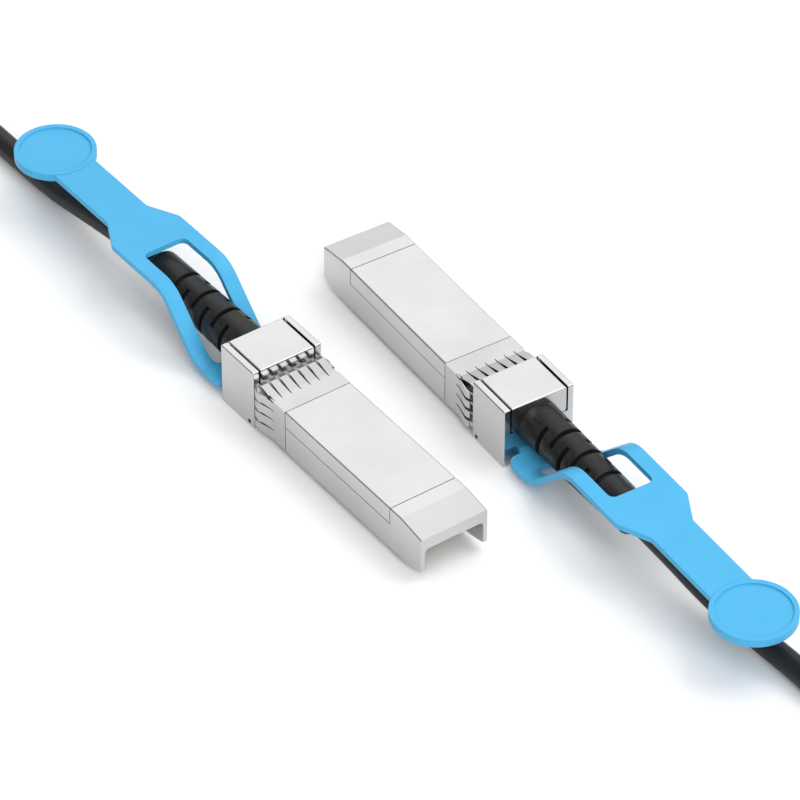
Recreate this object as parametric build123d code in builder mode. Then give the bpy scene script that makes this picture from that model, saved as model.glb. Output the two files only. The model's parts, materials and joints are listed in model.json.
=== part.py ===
from build123d import *
import os
from math import cos, pi, radians, sin, tan

# Direct attach copper cable: two small pluggable plugs on one round twinax cable.
# Each plug piece is modelled once in the plug's own frame and placed twice. In that frame +X is the
# way the plug goes into its cage, x = 0 is the face that stops at the cage and z = 0 is the table.

os.makedirs("parts", exist_ok=True)

# Places of the two plugs on the table: the middle of the cage stop, and the turn about Z in degrees
plug_a_x = -16.67
plug_a_y = 2.31
plug_a_turn = -54.24
plug_b_x = 20.27
plug_b_y = 0.06
plug_b_turn = 122.51

# Plug body
module_width = 13.4
module_height = 8.5
module_bottom = 1.1
nose_length = 47.5
module_wall = 0.8
module_floor = 0.9
box_length = 9.6
box_width = 14.0
box_height = 12.0
box_wall = 1.2
end_wall = 1.0
seam = 0.14
box_seam = 0.35
edge_radius = 0.25
rim_radius = 0.32
pocket_web = 0.6
floor_setback = 2.0

# Nose and mouth
bridge_length = 8.6
crease_setback = 5.7
nose_drop = 0.9
lead_in_length = 5.8
lead_in_rise = 0.9
lead_in_sag = 0.25
lip_depth = 2.3
mouth_length = 10.4
mouth_radius = 0.8

# Cover, the upper half of the body
cover_thickness = 0.8
flange_height = 3.35
flange_thickness = 0.4

# Spring collar
collar_thickness = 0.2
collar_length = 9.0
band_length = 3.5
collar_setback = 0.7
finger_rise = 0.55
finger_tip = 0.35
finger_crest = 0.9
finger_flat = 0.8
finger_lap = 0.6
finger_bend = 0.6
slit_mouth = 0.75
slit_root = 0.15
top_fingers = 7
side_fingers = 4

# Paddle card
card_width = 9.2
card_thickness = 1.0
card_height = 2.25
card_setback = 3.2
card_gap = 1.0
card_bevel = 0.3
pad_count = 10
pad_pitch = 0.8
pad_width = 0.5
pad_length = 3.0
pad_setback = 0.6
pad_thickness = 0.06
ledge_width = 1.6
ledge_setback = 1.0
ledge_gap = 4.1
chip_size = 3.0
chip_height = 0.9
chip_bevel = 0.15
chip_setback = 14.3
capacitor_rows = 2
capacitor_columns = 4
capacitor_length = 1.0
capacitor_width = 0.5
capacitor_pitch = 1.3
capacitor_setback = 20.0

# Cable, its clamped end and the strain relief
cable_diameter = 4.2
cable_exit = 9.0
core_diameter = 3.4
boot_height = 6.8
boot_front_diameter = 8.0
boot_rear_diameter = 6.8
boot_length = 29.0
boot_neck_radius = 2.55
boot_end_radius = 0.8
boot_clearance = 0.05
anchor_length = 1.5
anchor_width = 9.0
anchor_height = 4.2
slot_count = 6
slot_first = 5.25
slot_pitch = 3.03
slot_width = 1.0
slot_core = 2.85
slot_half_angle = 62
core_inset = 7.6
crimp_length = 3.6
crimp_thickness = 0.35
crimp_setback = 1.0
pair_width = 1.7
pair_height = 1.1
pair_offset = 0.9
pair_spread = 2.2
pair_straight = 2.6
pair_lead = 3.4
pair_bend = 3.0
conductor_radius = 0.2
conductor_offset = 0.42
conductor_length = 3.0
lead_gap = 0.3
solder_gap = 0.01

# Latch rocker, its pin and spring
pin_radius = 0.4
pin_setback = 1.3
pin_height = 0.9
pin_inset = 0.8
pin_fit = 0.01
running_fit = 0.05
hub_radius = 0.75
latch_width = 3.8
latch_reach = 5.4
latch_arm = 0.9
boss_shoulder = 2.5
boss_length = 2.6
boss_flat = 1.1
boss_width = 2.6
boss_height = 0.45
latch_angle = 6.75
hub_step = 0.1
tail_length = 3.4
tail_height = 2.55
tail_thickness = 0.5
tail_run = 0.6
nub_half_length = 0.2
nub_rounding = 0.05
nub_slope_length = 0.9
nub_slope_fall = 0.35
groove_clearance = 0.3
groove_roof = 3.0
spring_thickness = 0.15
spring_width = 2.4
spring_length = 4.0

# Pull tab and its slider
tab_thickness = 1.1
tab_base = 1.55
tab_top = 11.57
tab_crest = 0.8
tab_half_width = 7.05
tongue_half_width = 3.85
tongue_front = 5.0
crossbar_start = 10.5
crossbar_radius = 1.9
window_start = 15.1
window_end = 37.2
window_half_width = 4.25
window_radius = 1.2
rise_start = 17.6
rise_end = 27.6
rise_radius = 6.0
plate_end = 42.6
strap_start = 48.5
strap_half_width = 4.08
strap_radius = 1.2
disc_centre = 71.3
disc_radius = 7.3
disc_thickness = 1.5
disc_proud = 0.3
rim_width = 0.9
rim_depth = 0.35
tab_travel = 2.5
slot_clearance = 0.2
pocket_roof = 3.5
slider_width = 5.6
slider_wall = 0.6
slider_foot = 1.0
slider_length = 4.25
slider_top = 3.3
ramp_gap = 0.08

# Heights and stations that several pieces share
module_top = module_bottom + module_height
module_middle = module_bottom + module_height / 2
half_width = module_width / 2
cover_front = nose_length - bridge_length
mouth_roof = module_top - nose_drop - lip_depth
cover_seat = module_top - cover_thickness
inner_half = half_width - module_wall
lead_width = 2 * (inner_half - collar_thickness)
box_inner = box_width / 2 - box_wall
box_floor = pocket_roof + pocket_web
lead_floor = groove_roof + pocket_web
seat_width = module_width - 2 * collar_thickness
seat_height = module_height - 2 * collar_thickness
thick_floor_end = collar_length - floor_setback
card_bottom = module_bottom + card_height
card_top = card_bottom + card_thickness
card_front = nose_length - card_setback
card_rear = collar_length + card_gap
ledge_front = nose_length - mouth_length - ledge_gap
ledge_length = ledge_front - card_rear - ledge_setback
boot_end = box_length + boot_length
cable_radius = cable_diameter / 2
core_radius = core_diameter / 2
jacket_end = end_wall - box_length + anchor_length
tongue_top = tab_base + tab_thickness
slot_roof = tongue_top + slot_clearance
slot_half_width = tongue_half_width + slot_clearance
groove_half_width = latch_width / 2 + groove_clearance
groove_end = latch_reach + 2 * groove_clearance
latch_top = module_bottom + latch_arm

# Lower shell: die-cast trough with the box walls, the nose bridge and the latch pocket
with BuildPart() as lower_shell:
    with BuildSketch(Plane.YZ.offset(-box_length)):
        Rectangle(box_width, box_height, align=(Align.CENTER, Align.MIN))
    extrude(amount=box_length)
    fillet(edges(), edge_radius)
    with BuildSketch(Plane.XZ):
        with BuildLine():
            outline = Polyline(
                (nose_length - lead_in_length, module_bottom),
                (0, module_bottom),
                (0, module_top),
                (nose_length - crease_setback, module_top),
                (nose_length, module_top - nose_drop),
                (nose_length, module_bottom + lead_in_rise),
            )
            SagittaArc(outline @ 1, outline @ 0, lead_in_sag)
        make_face()
    extrude(amount=half_width, both=True)
    nose_rims = edges().filter_by_position(Axis.Z, module_top - nose_drop, module_top)
    fillet(nose_rims.filter_by(Axis.Y, reverse=True), rim_radius)
    # Seat of the spring collar, all round behind the cover
    with BuildSketch(Plane.YZ):
        with Locations((0, module_middle)):
            Rectangle(2 * module_width, 2 * module_height)
            Rectangle(seat_width, seat_height, mode=Mode.SUBTRACT)
    extrude(amount=collar_length, mode=Mode.SUBTRACT)
    # Rebate for the cover's side flanges, and the seat of its top plate
    with BuildSketch(Plane.YZ.offset(collar_length)):
        with Locations((0, module_top)):
            Rectangle(module_width, 2 * flange_height)
            Rectangle(module_width - 2 * flange_thickness, 2 * flange_height, mode=Mode.SUBTRACT)
    extrude(amount=cover_front - collar_length, mode=Mode.SUBTRACT)
    with BuildSketch(Plane.YZ):
        with Locations((0, module_top)):
            Rectangle(module_width, 2 * cover_thickness)
    extrude(amount=cover_front, mode=Mode.SUBTRACT)
    # Box cavity with the openings that the upper shell closes
    with BuildSketch(Plane.XZ):
        with BuildLine():
            Polyline(
                (-box_length, boot_height),
                (end_wall - box_length, boot_height),
                (end_wall - box_length, box_floor),
                (-end_wall, box_floor),
                (-end_wall, cover_seat),
                (0, cover_seat),
                (0, box_height),
                (-box_length, box_height),
                close=True,
            )
        make_face()
    extrude(amount=box_inner, both=True, mode=Mode.SUBTRACT)
    # Way for the leads, room for the card, and the mouth that is open below
    with BuildSketch(Plane.YZ.offset(-end_wall)):
        with Locations((0, lead_floor)):
            Rectangle(lead_width, cover_seat - lead_floor, align=(Align.CENTER, Align.MIN))
    extrude(amount=end_wall + thick_floor_end, mode=Mode.SUBTRACT)
    with BuildSketch(Plane.YZ.offset(thick_floor_end)):
        with Locations((0, module_bottom + module_floor)):
            Rectangle(2 * inner_half, module_height, align=(Align.CENTER, Align.MIN))
    extrude(amount=cover_front - thick_floor_end, mode=Mode.SUBTRACT)
    with BuildSketch(Plane.YZ.offset(nose_length)):
        Rectangle(2 * inner_half, mouth_roof, align=(Align.CENTER, Align.MIN))
        fillet(vertices().group_by(Axis.Y)[-1], mouth_radius)
    extrude(amount=-mouth_length, mode=Mode.SUBTRACT)
    # Ledges that the paddle card lies on
    with BuildSketch(Plane.XY.offset(module_bottom + module_floor)):
        with Locations((ledge_front - ledge_length / 2, 0)):
            Rectangle(ledge_length, 2 * inner_half)
            Rectangle(ledge_length, 2 * (inner_half - ledge_width), mode=Mode.SUBTRACT)
    extrude(amount=card_bottom - module_bottom - module_floor)
    # Pocket for the slider, the slot behind it for the tab, and the groove of the latch
    with BuildSketch(Plane.XZ):
        with BuildLine():
            Polyline(
                (-box_length, 0),
                (-box_length, slot_roof),
                (end_wall - box_length, slot_roof),
                (end_wall - box_length, pocket_roof),
                (-end_wall, pocket_roof),
                (-end_wall, 0),
                close=True,
            )
        make_face()
    extrude(amount=slot_half_width, both=True, mode=Mode.SUBTRACT)
    with BuildSketch(Plane.XZ):
        with Locations((-end_wall, 0)):
            Rectangle(end_wall + groove_end, groove_roof, align=(Align.MIN, Align.MIN))
    extrude(amount=groove_half_width, both=True, mode=Mode.SUBTRACT)
    with BuildSketch(Plane.XZ):
        with Locations((-pin_setback, pin_height)):
            Circle(pin_radius + pin_fit)
    extrude(amount=box_width / 2, both=True, mode=Mode.SUBTRACT)
    with BuildSketch(Plane.YZ.offset(-box_length)):
        with Locations((0, boot_height)):
            Circle(boot_neck_radius + boot_clearance)
    extrude(amount=end_wall, mode=Mode.SUBTRACT)

# Upper shell: cover with side flanges, stepped up to the box top and folded down at its rear
with BuildPart() as upper_shell:
    with BuildSketch(Plane.YZ.offset(collar_length)):
        with Locations((0, module_top)):
            Rectangle(module_width, flange_height - seam, align=(Align.CENTER, Align.MAX))
        with Locations((0, cover_seat - flange_height / 2)):
            Rectangle(module_width - 2 * flange_thickness, flange_height, mode=Mode.SUBTRACT)
    extrude(amount=cover_front - seam - collar_length)
    fillet(edges().filter_by(Axis.X).group_by(Axis.Z)[-1], rim_radius)
    with BuildSketch(Plane.YZ):
        with Locations((0, cover_seat)):
            Rectangle(seat_width, cover_thickness - collar_thickness, align=(Align.CENTER, Align.MIN))
    extrude(amount=collar_length)
    with BuildSketch(Plane.XZ):
        with BuildLine():
            Polyline(
                (-box_length, boot_height + seam),
                (end_wall - box_length, boot_height + seam),
                (end_wall - box_length, box_height - end_wall),
                (-end_wall, box_height - end_wall),
                (-end_wall, cover_seat),
                (0, cover_seat),
                (0, box_height),
                (-box_length, box_height),
                close=True,
            )
        make_face()
    extrude(amount=box_inner - box_seam, both=True)
    fillet(edges().group_by(Axis.Z)[-1], edge_radius)
    rear_corners = edges().filter_by(Axis.X).filter_by_position(Axis.X, -box_length, end_wall - box_length)
    fillet(rear_corners.group_by(Axis.Z)[0], 2 * edge_radius)
    with BuildSketch(Plane.YZ.offset(-box_length)):
        with Locations((0, boot_height)):
            Circle(boot_neck_radius + boot_clearance)
    extrude(amount=end_wall, mode=Mode.SUBTRACT)

# Spring collar: a sheet band with fingers that stand away from the body towards the box.
# Each row of fingers is a bent sheet as wide as its side of the body, cut by wedge-shaped slits.
top_pitch = module_width / top_fingers
side_pitch = module_height / side_fingers
finger_root = collar_length - band_length
finger_path = [
    (finger_root + finger_lap, -collar_thickness / 2),
    (finger_root - finger_flat, -collar_thickness / 2),
    (collar_setback + finger_crest, finger_rise),
    (collar_setback, finger_tip),
]
finger_rows = [
    (Vector(0, 0, 1), module_height / 2, top_fingers, top_pitch, 0),
    (Vector(0, 1, 0), half_width, side_fingers, side_pitch, 0),
    (Vector(0, -1, 0), half_width, side_fingers, side_pitch, 0),
    (Vector(0, 0, -1), module_height / 2, 1, top_pitch, groove_half_width + top_pitch),
    (Vector(0, 0, -1), module_height / 2, 1, top_pitch, -groove_half_width - top_pitch),
]
with BuildPart() as emi_collar:
    with BuildSketch(Plane.YZ.offset(finger_root)):
        with Locations((0, module_middle)):
            Rectangle(module_width, module_height)
            Rectangle(seat_width, seat_height, mode=Mode.SUBTRACT)
    extrude(amount=band_length - seam)
    with BuildSketch(Plane.XY):
        Rectangle(groove_end + groove_clearance, 2 * groove_half_width, align=(Align.MIN, Align.CENTER))
    extrude(amount=module_middle, mode=Mode.SUBTRACT)
    for outward, distance, count, pitch, shift in finger_rows:
        sideways = Vector(1, 0, 0).cross(outward)
        row_middle = Vector(0, 0, module_middle) + outward * distance + sideways * shift
        with BuildSketch(Plane(row_middle, x_dir=(1, 0, 0), z_dir=sideways)):
            with BuildLine():
                FilletPolyline(*finger_path, radius=finger_bend)
            trace(line_width=collar_thickness)
        extrude(amount=count * pitch / 2, both=True)
    for outward, distance, count, pitch, shift in finger_rows:
        sideways = Vector(1, 0, 0).cross(outward)
        slit_floor = Vector(0, 0, module_middle) + outward * (distance - 2 * collar_thickness)
        for place in range(count + 1):
            slit_middle = slit_floor + sideways * (shift + (place - count / 2) * pitch)
            with BuildSketch(Plane(slit_middle, x_dir=(1, 0, 0), z_dir=outward)):
                Polygon(
                    (0, slit_mouth / 2),
                    (finger_root, slit_root / 2),
                    (finger_root, -slit_root / 2),
                    (0, -slit_mouth / 2),
                    align=None,
                )
            extrude(amount=2 * (collar_thickness + finger_rise), mode=Mode.SUBTRACT)

# Paddle card with its bevelled front edge
with BuildPart() as paddle_card:
    with BuildSketch(Plane.XZ):
        with BuildLine():
            Polyline(
                (card_rear, card_bottom),
                (card_front - card_bevel, card_bottom),
                (card_front, card_bottom + card_bevel),
                (card_front, card_top - card_bevel),
                (card_front - card_bevel, card_top),
                (card_rear, card_top),
                close=True,
            )
        make_face()
    extrude(amount=card_width / 2, both=True)

# Gold contact pads on both faces of the card
pad_middle = card_front - pad_setback - pad_length / 2
with BuildPart() as contact_pads:
    for pad_bottom in (card_top, card_bottom - pad_thickness):
        with BuildSketch(Plane.XY.offset(pad_bottom)):
            with Locations((pad_middle, 0)):
                with GridLocations(0, pad_pitch, 1, pad_count):
                    Rectangle(pad_length, pad_width)
        extrude(amount=pad_thickness)

# Identification memory chip on the card
with BuildPart() as memory_chip:
    with BuildSketch(Plane.XY.offset(card_top)):
        with Locations((card_front - chip_setback, 0)):
            Rectangle(chip_size, chip_size)
    extrude(amount=chip_height)
    chamfer(faces().sort_by(Axis.Z)[-1].edges(), chip_bevel)

# Coupling capacitors in two rows on the card
with BuildPart() as card_capacitors:
    with BuildSketch(Plane.XY.offset(card_top)):
        with Locations((card_front - capacitor_setback, 0)):
            with GridLocations(2 * capacitor_length, capacitor_pitch, capacitor_rows, capacitor_columns):
                Rectangle(capacitor_length, capacitor_width)
    extrude(amount=capacitor_width)

# Two shielded twinax pairs that fan out from the cable to the card
lead_height = card_top + conductor_radius + solder_gap
pairs_start = core_inset - box_length
pairs_end = card_rear - lead_gap
with BuildPart() as twinax_pairs:
    for side in (-1, 1):
        pair_start = Vector(pairs_start, side * pair_offset, boot_height)
        with BuildLine() as pair_route:
            FilletPolyline(
                pair_start,
                pair_start + Vector(pair_straight, 0, 0),
                (pairs_end - pair_lead, side * pair_spread, lead_height),
                (pairs_end, side * pair_spread, lead_height),
                radius=pair_bend,
            )
        with BuildSketch(Plane.YZ.offset(pairs_start)):
            with Locations((side * pair_offset, boot_height)):
                Rectangle(pair_width, pair_height)
        sweep(path=pair_route.line)
        with BuildSketch(Plane.YZ.offset(pairs_end)):
            with Locations((side * pair_spread, lead_height)):
                with GridLocations(2 * conductor_offset, 0, 2, 1):
                    Circle(conductor_radius)
        extrude(amount=conductor_length)

# Clamped end of the cable: jacket inside the strain relief, stripped core inside the box
with BuildPart() as cable_end:
    with BuildSketch(Plane.YZ.offset(-boot_end)):
        with Locations((0, boot_height)):
            Circle(cable_radius)
    extrude(amount=boot_end + jacket_end)
    with BuildSketch(Plane.YZ.offset(jacket_end)):
        with Locations((0, boot_height)):
            Circle(core_radius)
    extrude(amount=pairs_start - jacket_end)

# Crimp ring over the braid of the stripped core
with BuildPart() as crimp_ring:
    with BuildSketch(Plane.YZ.offset(pairs_start - crimp_setback - crimp_length)):
        with Locations((0, boot_height)):
            Circle(core_radius + boot_clearance + crimp_thickness)
            Circle(core_radius + boot_clearance, mode=Mode.SUBTRACT)
    extrude(amount=crimp_length)

# Strain relief: tapered boot with crosswise slots, a neck in the rear wall and an anchor behind it
with BuildPart() as strain_relief:
    with BuildSketch(Plane.XZ):
        with BuildLine():
            Polyline(
                (-box_length, boot_height),
                (-box_length, boot_height + boot_front_diameter / 2),
                (-boot_end, boot_height + boot_rear_diameter / 2),
                (-boot_end, boot_height),
                close=True,
            )
        make_face()
    revolve(axis=Axis((0, 0, boot_height), (1, 0, 0)))
    rear_rim = edges().filter_by(GeomType.CIRCLE).sort_by(Axis.X)[0]
    fillet(rear_rim, boot_end_radius)
    # Slots that bend the boot, by turns in its sides and in its top and bottom
    wedge_half_width = boot_front_diameter * tan(radians(slot_half_angle))
    for station in range(slot_count):
        slot_x = -box_length - slot_first - station * slot_pitch
        slot_way = [Vector(0, 1, 0), Vector(0, 0, 1)][station % 2]
        with BuildSketch(Plane((slot_x, 0, boot_height), x_dir=slot_way, z_dir=(1, 0, 0))):
            with PolarLocations(0, 2):
                Polygon(
                    (0, 0),
                    (boot_front_diameter, -wedge_half_width),
                    (boot_front_diameter, wedge_half_width),
                    align=None,
                )
            Circle(slot_core, mode=Mode.SUBTRACT)
        extrude(amount=slot_width / 2, both=True, mode=Mode.SUBTRACT)
    with BuildSketch(Plane.YZ.offset(-box_length)):
        with Locations((0, boot_height)):
            Circle(boot_neck_radius)
    extrude(amount=end_wall)
    with BuildSketch(Plane.YZ.offset(end_wall - box_length)):
        with Locations((0, boot_height)):
            RectangleRounded(anchor_width, anchor_height, 2 * edge_radius)
    extrude(amount=anchor_length)
    with BuildSketch(Plane.YZ.offset(-boot_end)):
        with Locations((0, boot_height)):
            Circle(cable_radius + boot_clearance)
    extrude(amount=boot_end, mode=Mode.SUBTRACT)

# Latch rocker: boss in front of the pin, tail behind it
tail_end = -pin_setback - tail_length
nub_x = tail_end + nub_half_length
with BuildPart() as latch:
    with BuildSketch(Plane.XZ):
        with BuildLine():
            Polyline(
                (-pin_setback, pin_height + hub_radius),
                (0, latch_top),
                (latch_reach, latch_top),
                (latch_reach, module_bottom),
                (0, module_bottom),
                (-pin_setback, pin_height - hub_radius),
                (-pin_setback - hub_radius, pin_height + hub_step),
                (tail_end + tail_run, tail_height - tail_thickness),
                (tail_end, tail_height - tail_thickness),
                (tail_end, tail_height - nub_rounding),
                (nub_x, tail_height),
                (nub_x + nub_half_length, tail_height - nub_rounding),
                (nub_x + nub_slope_length, tail_height - nub_slope_fall),
                close=True,
            )
        make_face()
        with Locations((-pin_setback, pin_height)):
            Circle(hub_radius)
            Circle(pin_radius + running_fit, mode=Mode.SUBTRACT)
    extrude(amount=latch_width / 2, both=True)
    with BuildSketch(Plane.XZ):
        with BuildLine():
            Polyline(
                (boss_shoulder, latch_top),
                (boss_shoulder, module_bottom - boss_height),
                (boss_shoulder + boss_flat, module_bottom - boss_height),
                (boss_shoulder + boss_length, module_bottom),
                (boss_shoulder + boss_length, latch_top),
                close=True,
            )
        make_face()
    extrude(amount=boss_width / 2, both=True)

# Pivot pin across the box
with BuildPart() as latch_pin:
    with BuildSketch(Plane.XZ):
        with Locations((-pin_setback, pin_height)):
            Circle(pin_radius)
    extrude(amount=box_width / 2 - pin_inset, both=True)

# Bowed leaf spring between the groove's roof and the latch
with BuildPart() as latch_spring:
    with BuildSketch(Plane.XZ):
        with BuildLine():
            spring_ends = groove_roof - spring_thickness / 2
            ThreePointArc(
                (latch_reach - spring_length, spring_ends),
                (latch_reach - spring_length / 2, latch_top + spring_thickness / 2),
                (latch_reach, spring_ends),
            )
        trace(line_width=spring_thickness)
    extrude(amount=spring_width / 2, both=True)

# Pull tab: one bent and pierced strip that ends in a thumb disc
tab_base_middle = tab_base + tab_thickness / 2
tab_top_middle = tab_top - tab_thickness / 2
with BuildPart() as pull_tab:
    with BuildSketch(Plane.XZ):
        with BuildLine():
            FilletPolyline(
                (-tongue_front, tab_base_middle),
                (-rise_start, tab_base_middle),
                (-rise_end, tab_top_middle + tab_crest),
                (-disc_centre, tab_top_middle),
                radius=rise_radius,
            )
        trace(line_width=tab_thickness)
    extrude(amount=tab_half_width, both=True)
    with BuildSketch(Plane.XY):
        with BuildLine():
            Polyline(
                (-tongue_front, 0),
                (-tongue_front, tongue_half_width),
                (-crossbar_start, tongue_half_width),
                (-crossbar_start, tab_half_width),
                (-plate_end, tab_half_width),
                (-strap_start, strap_half_width),
                (-disc_centre, strap_half_width),
                (-disc_centre, 0),
            )
            mirror(about=Plane.XZ)
        make_face()
        crossbar_corners = vertices().group_by(Axis.X)[3].sort_by(Axis.Y)
        fillet([crossbar_corners[0], crossbar_corners[-1]], crossbar_radius)
        strap_corners = vertices().group_by(Axis.X)[1:3]
        fillet([corner for group in strap_corners for corner in group], strap_radius)
        with Locations((-(window_start + window_end) / 2, 0)):
            window_length = window_end - window_start
            RectangleRounded(window_length, 2 * window_half_width, window_radius, mode=Mode.SUBTRACT)
    extrude(amount=2 * tab_top, mode=Mode.INTERSECT)
    with BuildSketch(Plane.XY.offset(tab_top + disc_proud - disc_thickness)):
        with Locations((-disc_centre, 0)):
            Circle(disc_radius)
    extrude(amount=disc_thickness)
    with BuildSketch(Plane.XY.offset(tab_top + disc_proud)):
        with Locations((-disc_centre, 0)):
            Circle(disc_radius - rim_width)
    extrude(amount=-rim_depth, mode=Mode.SUBTRACT)

# Slider: saddle on the tab's tongue whose ramp presses the latch's tail down as the tab is pulled
turn = radians(latch_angle)
nub_reach = nub_x + pin_setback
nub_rise = tail_height - pin_height
pressed_x = nub_reach * cos(turn) - nub_rise * sin(turn) - pin_setback
pressed_z = nub_reach * sin(turn) + nub_rise * cos(turn) + pin_height
ramp_slope = (tail_height - pressed_z) / (pressed_x + tab_travel - nub_x)
slider_rear = -tongue_front - slider_foot
slider_front = slider_rear + slider_length
with BuildPart() as tab_slider:
    with BuildSketch(Plane.XZ):
        with BuildLine():
            Polyline(
                (slider_rear, tail_height + ramp_gap + ramp_slope * (nub_x - slider_rear)),
                (slider_front, tail_height + ramp_gap + ramp_slope * (nub_x - slider_front)),
                (slider_front, slider_top),
                (slider_rear, slider_top),
                close=True,
            )
        make_face()
    extrude(amount=slider_width / 2, both=True)
    with BuildSketch(Plane.XY.offset(tongue_top)):
        with Locations((slider_rear, 0)):
            Rectangle(slider_foot, slider_width, align=(Align.MIN, Align.CENTER))
            Rectangle(2 * slider_foot, slider_width - 2 * slider_wall, mode=Mode.SUBTRACT)
    extrude(amount=slider_top - tongue_top)

# Both plugs: every piece of the plug at each end of the cable
plug_pieces = {
    "lower_shell": lower_shell,
    "upper_shell": upper_shell,
    "emi_collar": emi_collar,
    "paddle_card": paddle_card,
    "contact_pads": contact_pads,
    "memory_chip": memory_chip,
    "card_capacitors": card_capacitors,
    "twinax_pairs": twinax_pairs,
    "cable_end": cable_end,
    "crimp_ring": crimp_ring,
    "strain_relief": strain_relief,
    "latch": latch,
    "latch_pin": latch_pin,
    "latch_spring": latch_spring,
    "pull_tab": pull_tab,
    "tab_slider": tab_slider,
}
plug_places = {
    "plug_a": Location((plug_a_x, plug_a_y, 0), (0, 0, plug_a_turn)),
    "plug_b": Location((plug_b_x, plug_b_y, 0), (0, 0, plug_b_turn)),
}
for plug, place in plug_places.items():
    for name, piece in plug_pieces.items():
        placed = piece.part.moved(place)
        placed.label = f"{plug}_{name}"
        export_step(placed, f"parts/{placed.label}.step")

# Cable: leaves each strain relief straight, comes down to the table and goes round outside both plugs.
# The free points are places on the table, in the frame of the whole part.
cable_start = plug_places["plug_a"] * Location((-boot_end, 0, boot_height))
cable_finish = plug_places["plug_b"] * Location((-boot_end, 0, boot_height))
cable_first = plug_places["plug_a"] * Location((-boot_end - cable_exit, 0, boot_height))
cable_last = plug_places["plug_b"] * Location((-boot_end - cable_exit, 0, boot_height))
free_points = [
    (-51.7, 51.2, 4.6),
    (-58.8, 60.9, 2.5),
    (-66.9, 72.2, 2.1),
    (-73.4, 81.0, 2.1),
    (-84.0, 86.6, 2.1),
    (-96.0, 86.8, 2.1),
    (-106.6, 81.4, 2.1),
    (-113.4, 71.6, 2.1),
    (-115.0, 59.9, 2.1),
    (-110.8, 40.0, 2.1),
    (-103.0, 7.0, 2.1),
    (-96.0, -27.0, 2.1),
    (-88.0, -60.0, 2.1),
    (-73.5, -91.5, 2.1),
    (-45.0, -111.0, 2.1),
    (-10.0, -117.0, 2.1),
    (26.0, -116.8, 2.1),
    (52.0, -113.0, 2.1),
    (63.8, -107.0, 2.1),
    (71.6, -97.2, 2.1),
    (74.8, -85.6, 2.1),
    (72.9, -74.3, 2.1),
    (66.6, -64.6, 2.2),
    (59.1, -56.2, 3.0),
    (52.0, -48.4, 4.9),
]
cable_points = [cable_start.position, cable_first.position]
cable_points += [Vector(*point) for point in free_points]
cable_points += [cable_last.position, cable_finish.position]

runs = [after - before for before, after in zip(cable_points, cable_points[1:])]
arc_share = 0.45
cable_radii = []
for before, after in zip(runs, runs[1:]):
    half_turn = radians(before.get_angle(after)) / 2
    cable_radii.append(arc_share * min(before.length, after.length) / tan(half_turn))
with BuildPart() as cable:
    with BuildLine() as cable_route:
        FilletPolyline(*cable_points, radius=cable_radii)
    with BuildSketch(Plane(cable_start.position, z_dir=runs[0])):
        Circle(cable_radius)
    sweep(path=cable_route.line)
cable.part.label = "cable"
export_step(cable.part, "parts/cable.step")

cable_length = cable_route.wire().length
section_times_length = pi * cable_radius**2 * cable_length
print("cable length, mm:", round(cable_length, 2))
print("cable volume over section times length:", round(cable.part.volume / section_times_length, 5))
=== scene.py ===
"""Looks of the direct attach copper cable: finishes, the free cable, studio light and camera."""

import json
import math

import bpy
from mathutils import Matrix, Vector


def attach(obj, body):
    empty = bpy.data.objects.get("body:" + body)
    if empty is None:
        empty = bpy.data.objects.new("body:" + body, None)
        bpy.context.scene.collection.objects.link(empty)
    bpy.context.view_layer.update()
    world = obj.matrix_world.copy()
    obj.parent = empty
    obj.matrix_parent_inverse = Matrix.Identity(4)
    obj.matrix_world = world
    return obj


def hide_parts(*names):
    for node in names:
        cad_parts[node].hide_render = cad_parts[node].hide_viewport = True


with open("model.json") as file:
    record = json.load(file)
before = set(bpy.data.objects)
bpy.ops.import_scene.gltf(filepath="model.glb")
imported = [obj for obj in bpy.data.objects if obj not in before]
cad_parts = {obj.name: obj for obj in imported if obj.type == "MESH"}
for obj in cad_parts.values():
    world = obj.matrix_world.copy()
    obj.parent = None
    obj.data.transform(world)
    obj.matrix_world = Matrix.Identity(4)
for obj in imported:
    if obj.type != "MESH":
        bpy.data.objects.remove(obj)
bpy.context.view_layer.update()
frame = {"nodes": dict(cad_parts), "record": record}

MM = 0.001

# Cable, in millimetres in the frame of the whole part: the same points as the solid's route
CABLE_DIAMETER = 4.2
CABLE_FREE_POINTS = [
    (-51.7, 51.2, 4.6),
    (-58.8, 60.9, 2.5),
    (-66.9, 72.2, 2.1),
    (-73.4, 81.0, 2.1),
    (-84.0, 86.6, 2.1),
    (-96.0, 86.8, 2.1),
    (-106.6, 81.4, 2.1),
    (-113.4, 71.6, 2.1),
    (-115.0, 59.9, 2.1),
    (-110.8, 40.0, 2.1),
    (-103.0, 7.0, 2.1),
    (-96.0, -27.0, 2.1),
    (-88.0, -60.0, 2.1),
    (-73.5, -91.5, 2.1),
    (-45.0, -111.0, 2.1),
    (-10.0, -117.0, 2.1),
    (26.0, -116.8, 2.1),
    (52.0, -113.0, 2.1),
    (63.8, -107.0, 2.1),
    (71.6, -97.2, 2.1),
    (74.8, -85.6, 2.1),
    (72.9, -74.3, 2.1),
    (66.6, -64.6, 2.2),
    (59.1, -56.2, 3.0),
    (52.0, -48.4, 4.9),
]

# Plugs: x and y of the plug's own origin in millimetres, and its turn in degrees
PLUG_A = (-16.67, 2.31, -54.24)
PLUG_B = (20.27, 0.06, 122.51)

# Way out of a strain relief, in the plug's own frame: its end, the straight stretch behind it, its height
BOOT_END = 38.6
CABLE_EXIT = 9.0
BOOT_HEIGHT = 6.8

# Fineness of the cable's curve: its order, steps from point to point, and steps round a quarter turn
SPLINE_ORDER = 3
STEPS_ALONG = 8
STEPS_ROUND = 8

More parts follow.
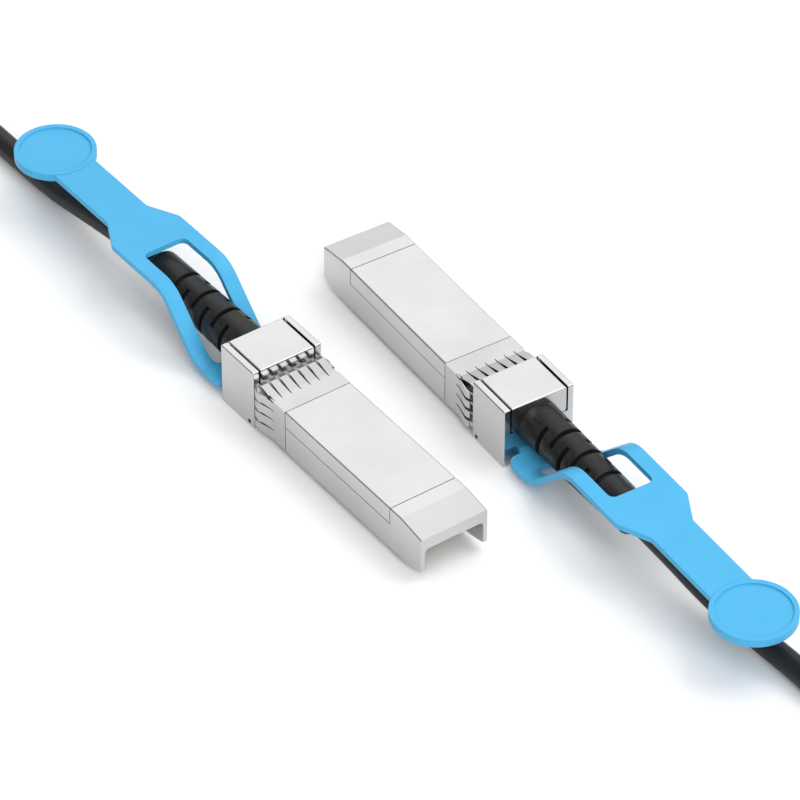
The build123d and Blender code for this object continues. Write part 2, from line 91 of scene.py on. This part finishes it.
# Moulded edges, in millimetres and degrees
TAB_ROUNDING = 0.22
BOOT_ROUNDING = 0.16
ROUNDING_STEPS = 2
WELD_DISTANCE = 0.002
FLAT_ANGLE = 1
SHARP_ANGLE = 40

# Noise in the finishes: the used part of its range, then features per metre and levels of finer detail
NOISE_LOW = 0.3
NOISE_HIGH = 0.7
METAL_DRIFT = {"scale": 90, "detail": 2}
METAL_GLOSS = {"scale": 500, "detail": 2}
METAL_GRAIN = {"scale": 900, "detail": 2}
PLASTIC_DRIFT = {"scale": 120, "detail": 3}
PLASTIC_GLOSS = {"scale": 900, "detail": 4}
PLASTIC_GRAIN_DETAIL = 3
FLOOR_DRIFT = {"scale": 3, "detail": 2}

# Mirror strength of what isn't metal, from none at 0 to the usual one at 0.5
USUAL_GLOSS = 0.5
BLACK_GLOSS = 0.28
TAB_GLOSS = 0.15
FLOOR_GLOSS = 0.1

# Floor, its width in metres
FLOOR_WIDTH = 6
FLOOR_COLOURS = [(0.88, 0.88, 0.88), (0.90, 0.90, 0.90)]
FLOOR_ROUGHNESS = 0.9

# Surroundings: pale all round, but for a dark patch high up at the left and at the right.
# Each pair is a place along the direction's x, y or z, and the grey there.
WORLD_STRENGTH = 1.57
TONES_SIDEWAYS = [(0.28, 1.0), (0.52, 0.06)]
TONES_LENGTHWAYS = [(0.40, 0.06), (0.55, 0.6)]
TONES_LOW_DOWN = [(0.50, 0.6), (0.62, 0.06)]
TONES_UPWARDS = [(0.08, 0.05), (0.25, 0.5), (0.42, 0.86), (0.62, 1.0), (0.76, 0.88), (0.99, 0.82)]

# Soft boxes, in metres and watts, and the point that they face
LIGHTS_FACE = (0, 0, 0)
KEY = {"at": (0.74, 0.10, 1.06), "size": 0.9, "power": 7.5}
FILL = {"at": (0.30, -1.05, 0.75), "size": 0.8, "power": 6}

# Camera, in millimetres: the photograph's view, with its picture taken to be 800 pixels wide and high
IMAGE_SIZE = 800
FOCAL_PIXELS = 5512.0
SENSOR_WIDTH = 36.0
CLIP_START = 10
CAMERA_AT = (2.25, -709.35, 602.05)
CAMERA_TO = (2.25, -0.14, 5.0)


def in_plug(plug, x, y, z):
    """A point of a plug's own frame, in millimetres in the frame of the whole part."""
    plug_x, plug_y, degrees = plug
    turn = math.radians(degrees)
    return (
        plug_x + x * math.cos(turn) - y * math.sin(turn),
        plug_y + x * math.sin(turn) + y * math.cos(turn),
        z,
    )


# Materials

def new_material(name):
    """A node material, with its node tree and its shader."""
    made = bpy.data.materials.new(name)
    made.use_nodes = True
    tree = made.node_tree
    return made, tree, tree.nodes["Principled BSDF"]


def noise(tree, scale, detail):
    """Solid noise that rides with its piece, with features of about 1 / scale metres."""
    place = tree.nodes.new("ShaderNodeTexCoord")
    texture = tree.nodes.new("ShaderNodeTexNoise")
    texture.inputs["Scale"].default_value = scale
    texture.inputs["Detail"].default_value = detail
    tree.links.new(place.outputs["Object"], texture.inputs["Vector"])
    return texture.outputs["Fac"]


def vary_number(tree, factor, limits, socket):
    """Spreads a noise factor between two numbers, into a shader socket."""
    spread = tree.nodes.new("ShaderNodeMapRange")
    spread.interpolation_type = "SMOOTHSTEP"
    spread.inputs["From Min"].default_value = NOISE_LOW
    spread.inputs["From Max"].default_value = NOISE_HIGH
    spread.inputs["To Min"].default_value = limits[0]
    spread.inputs["To Max"].default_value = limits[1]
    tree.links.new(factor, spread.inputs["Value"])
    tree.links.new(spread.outputs["Result"], socket)


def vary_colour(tree, factor, limits, socket):
    """Spreads a noise factor between two colours, into a shader socket."""
    ramp = tree.nodes.new("ShaderNodeValToRGB")
    stops = ramp.color_ramp.elements
    for stop, position, colour in zip(stops, (NOISE_LOW, NOISE_HIGH), limits):
        stop.position = position
        stop.color = (*colour, 1)
    tree.links.new(factor, ramp.inputs["Fac"])
    tree.links.new(ramp.outputs["Color"], socket)


def bump(tree, shader, factor, depth):
    """Raises the surface by a noise factor, by up to a depth in millimetres."""
    relief = tree.nodes.new("ShaderNodeBump")
    relief.inputs["Strength"].default_value = 1.0
    relief.inputs["Distance"].default_value = depth * MM
    tree.links.new(factor, relief.inputs["Height"])
    tree.links.new(relief.outputs["Normal"], shader.inputs["Normal"])


def metal(name, colours, roughness, grain_depth):
    """Plated metal: slow colour drift, fine grain in the gloss and a shallow cast grain."""
    made, tree, shader = new_material(name)
    shader.inputs["Metallic"].default_value = 1.0
    vary_colour(tree, noise(tree, **METAL_DRIFT), colours, shader.inputs["Base Color"])
    vary_number(tree, noise(tree, **METAL_GLOSS), roughness, shader.inputs["Roughness"])
    bump(tree, shader, noise(tree, **METAL_GRAIN), grain_depth)
    return made


def plastic(name, colours, roughness, grain_scale, grain_depth, gloss=USUAL_GLOSS):
    """Moulded plastic: slight colour drift, uneven gloss and a fine moulded grain."""
    made, tree, shader = new_material(name)
    shader.inputs["Specular IOR Level"].default_value = gloss
    vary_colour(tree, noise(tree, **PLASTIC_DRIFT), colours, shader.inputs["Base Color"])
    vary_number(tree, noise(tree, **PLASTIC_GLOSS), roughness, shader.inputs["Roughness"])
    bump(tree, shader, noise(tree, grain_scale, PLASTIC_GRAIN_DETAIL), grain_depth)
    return made


finishes = {
    "shell_metal": metal(
        "nickel_plate",
        colours=[(0.53, 0.53, 0.533), (0.57, 0.57, 0.573)],
        roughness=(0.18, 0.22),
        grain_depth=0.0006,
    ),
    "spring_steel": metal(
        "spring_sheet",
        colours=[(0.48, 0.48, 0.483), (0.54, 0.54, 0.543)],
        roughness=(0.18, 0.22),
        grain_depth=0.0006,
    ),
    "contact_gold": metal(
        "gold_plate",
        colours=[(0.78, 0.56, 0.20), (0.88, 0.66, 0.28)],
        roughness=(0.18, 0.28),
        grain_depth=0.001,
    ),
    "lead_foil": metal(
        "foil_wrap",
        colours=[(0.66, 0.67, 0.68), (0.8, 0.81, 0.82)],
        roughness=(0.25, 0.4),
        grain_depth=0.02,
    ),
    "card_laminate": plastic(
        "solder_mask",
        colours=[(0.012, 0.09, 0.04), (0.02, 0.13, 0.06)],
        roughness=(0.25, 0.35),
        grain_scale=2500,
        grain_depth=0.004,
    ),
    "chip_plastic": plastic(
        "chip_epoxy",
        colours=[(0.012, 0.012, 0.013), (0.02, 0.02, 0.021)],
        roughness=(0.45, 0.6),
        grain_scale=5000,
        grain_depth=0.003,
    ),
    "capacitor_ceramic": plastic(
        "ceramic",
        colours=[(0.30, 0.22, 0.14), (0.40, 0.30, 0.20)],
        roughness=(0.4, 0.5),
        grain_scale=4000,
        grain_depth=0.003,
    ),
    "cable_jacket": plastic(
        "cable_jacket",
        colours=[(0.009, 0.009, 0.0095), (0.013, 0.013, 0.0135)],
        roughness=(0.36, 0.44),
        grain_scale=2200,
        grain_depth=0.003,
        gloss=BLACK_GLOSS,
    ),
    "boot_plastic": plastic(
        "boot_moulding",
        colours=[(0.009, 0.009, 0.0095), (0.013, 0.013, 0.0135)],
        roughness=(0.34, 0.42),
        grain_scale=2800,
        grain_depth=0.003,
        gloss=BLACK_GLOSS,
    ),
    "tab_plastic": plastic(
        "tab_moulding",
        colours=[(0.065, 0.385, 0.66), (0.075, 0.405, 0.69)],
        roughness=(0.32, 0.40),
        grain_scale=3000,
        grain_depth=0.002,
        gloss=TAB_GLOSS,
    ),
}
for subpart in frame["record"]["subparts"]:
    node = frame["nodes"][subpart["node"]]
    node.data.materials.clear()
    node.data.materials.append(finishes[subpart["material_slot"]])


def soften(node, width):
    """Rounds the sharp moulded edges of a node, by a width in millimetres."""
    weld = node.modifiers.new("weld", "WELD")
    weld.merge_threshold = WELD_DISTANCE * MM
    flatten = node.modifiers.new("flatten", "DECIMATE")
    flatten.decimate_type = "DISSOLVE"
    flatten.angle_limit = math.radians(FLAT_ANGLE)
    rounding = node.modifiers.new("rounding", "BEVEL")
    rounding.width = width * MM
    rounding.segments = ROUNDING_STEPS
    rounding.limit_method = "ANGLE"
    rounding.angle_limit = math.radians(SHARP_ANGLE)
    rounding.harden_normals = True


for plug in ("plug_a", "plug_b"):
    soften(frame["nodes"][plug + "_pull_tab"], TAB_ROUNDING)
    soften(frame["nodes"][plug + "_strain_relief"], BOOT_ROUNDING)


# Cable: one smooth spline, with the route's points as its control points

def cable_points():
    """The route from one strain relief to the other, in millimetres."""
    first = [in_plug(PLUG_A, -BOOT_END - reach, 0, BOOT_HEIGHT) for reach in (0, CABLE_EXIT)]
    last = [in_plug(PLUG_B, -BOOT_END - reach, 0, BOOT_HEIGHT) for reach in (CABLE_EXIT, 0)]
    return [*first, *CABLE_FREE_POINTS, *last]


def make_cable():
    """The free cable as a curve of the cable's thickness."""
    points = cable_points()
    line = bpy.data.curves.new("free_cable", "CURVE")
    line.dimensions = "3D"
    spline = line.splines.new("NURBS")
    spline.points.add(len(points) - 1)
    for control, point in zip(spline.points, points):
        control.co = (*(Vector(point) * MM), 1)
    spline.order_u = SPLINE_ORDER
    spline.use_endpoint_u = True
    spline.resolution_u = STEPS_ALONG
    line.bevel_depth = CABLE_DIAMETER / 2 * MM
    line.bevel_resolution = STEPS_ROUND
    line.materials.append(finishes["cable_jacket"])
    made = bpy.data.objects.new("free_cable", line)
    bpy.context.scene.collection.objects.link(made)
    return made


free_cable = make_cable()
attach(free_cable, "cable_and_plugs")
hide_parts("cable")


# Stage, light and camera

def make_floor():
    """Pale matt floor under the object."""
    bpy.ops.mesh.primitive_plane_add(size=FLOOR_WIDTH)
    floor = bpy.context.object
    floor.name = "floor"
    made, tree, shader = new_material("pale_floor")
    vary_colour(tree, noise(tree, **FLOOR_DRIFT), FLOOR_COLOURS, shader.inputs["Base Color"])
    shader.inputs["Roughness"].default_value = FLOOR_ROUGHNESS
    shader.inputs["Specular IOR Level"].default_value = FLOOR_GLOSS
    floor.data.materials.append(made)


def grey(tone):
    """A grey as an opaque colour."""
    return (tone, tone, tone, 1)


def tone_ramp(tree, value, tones):
    """Greys along a varying value, from pairs of place and tone."""
    ramp = tree.nodes.new("ShaderNodeValToRGB")
    stops = ramp.color_ramp.elements
    stops.remove(stops[-1])
    first_place, first_tone = tones[0]
    stops[0].position = first_place
    stops[0].color = grey(first_tone)
    for place, tone in tones[1:]:
        stops.new(place).color = grey(tone)
    tree.links.new(value, ramp.inputs["Fac"])
    return ramp.outputs["Color"]


def size_of(tree, value):
    """A varying value without its sign."""
    plain = tree.nodes.new("ShaderNodeMath")
    plain.operation = "ABSOLUTE"
    tree.links.new(value, plain.inputs[0])
    return plain.outputs["Value"]


def combine(tree, operation, first, second):
    """Two tones put together by a vector operation."""
    both = tree.nodes.new("ShaderNodeVectorMath")
    both.operation = operation
    tree.links.new(first, both.inputs[0])
    tree.links.new(second, both.inputs[1])
    return both.outputs["Vector"]


def make_world():
    """Pale surroundings with two dark patches, so that metal edges mirror something dark."""
    world = bpy.data.worlds.new("studio")
    world.use_nodes = True
    tree = world.node_tree
    place = tree.nodes.new("ShaderNodeTexCoord")
    axes = tree.nodes.new("ShaderNodeSeparateXYZ")
    tree.links.new(place.outputs["Generated"], axes.inputs["Vector"])
    sideways = tone_ramp(tree, size_of(tree, axes.outputs["X"]), TONES_SIDEWAYS)
    lengthways = tone_ramp(tree, size_of(tree, axes.outputs["Y"]), TONES_LENGTHWAYS)
    low_down = tone_ramp(tree, axes.outputs["Z"], TONES_LOW_DOWN)
    upwards = tone_ramp(tree, axes.outputs["Z"], TONES_UPWARDS)
    patches = combine(tree, "MAXIMUM", combine(tree, "MAXIMUM", sideways, lengthways), low_down)
    background = tree.nodes["Background"]
    background.inputs["Strength"].default_value = WORLD_STRENGTH
    tree.links.new(combine(tree, "MULTIPLY", patches, upwards), background.inputs["Color"])
    bpy.context.scene.world = world


def turn_towards(made, at, to):
    """Puts a light or camera at a place and turns it to face a point."""
    made.location = at
    made.rotation_euler = (Vector(to) - Vector(at)).to_track_quat("-Z", "Y").to_euler()


def make_light(name, at, size, power):
    """A square soft box that faces the middle of the part."""
    lamp = bpy.data.lights.new(name, "AREA")
    lamp.energy = power
    lamp.size = size
    made = bpy.data.objects.new(name, lamp)
    turn_towards(made, at, LIGHTS_FACE)
    bpy.context.scene.collection.objects.link(made)


def make_camera():
    """The photograph's viewing angle and framing."""
    lens = bpy.data.cameras.new("camera")
    lens.sensor_width = SENSOR_WIDTH
    lens.lens = FOCAL_PIXELS / IMAGE_SIZE * SENSOR_WIDTH
    lens.clip_start = CLIP_START * MM
    made = bpy.data.objects.new("camera", lens)
    turn_towards(made, Vector(CAMERA_AT) * MM, Vector(CAMERA_TO) * MM)
    bpy.context.scene.collection.objects.link(made)
    bpy.context.scene.camera = made


bpy.context.scene.view_settings.view_transform = "Standard"
make_floor()
make_world()
make_light("key", **KEY)
make_light("fill", **FILL)
make_camera()
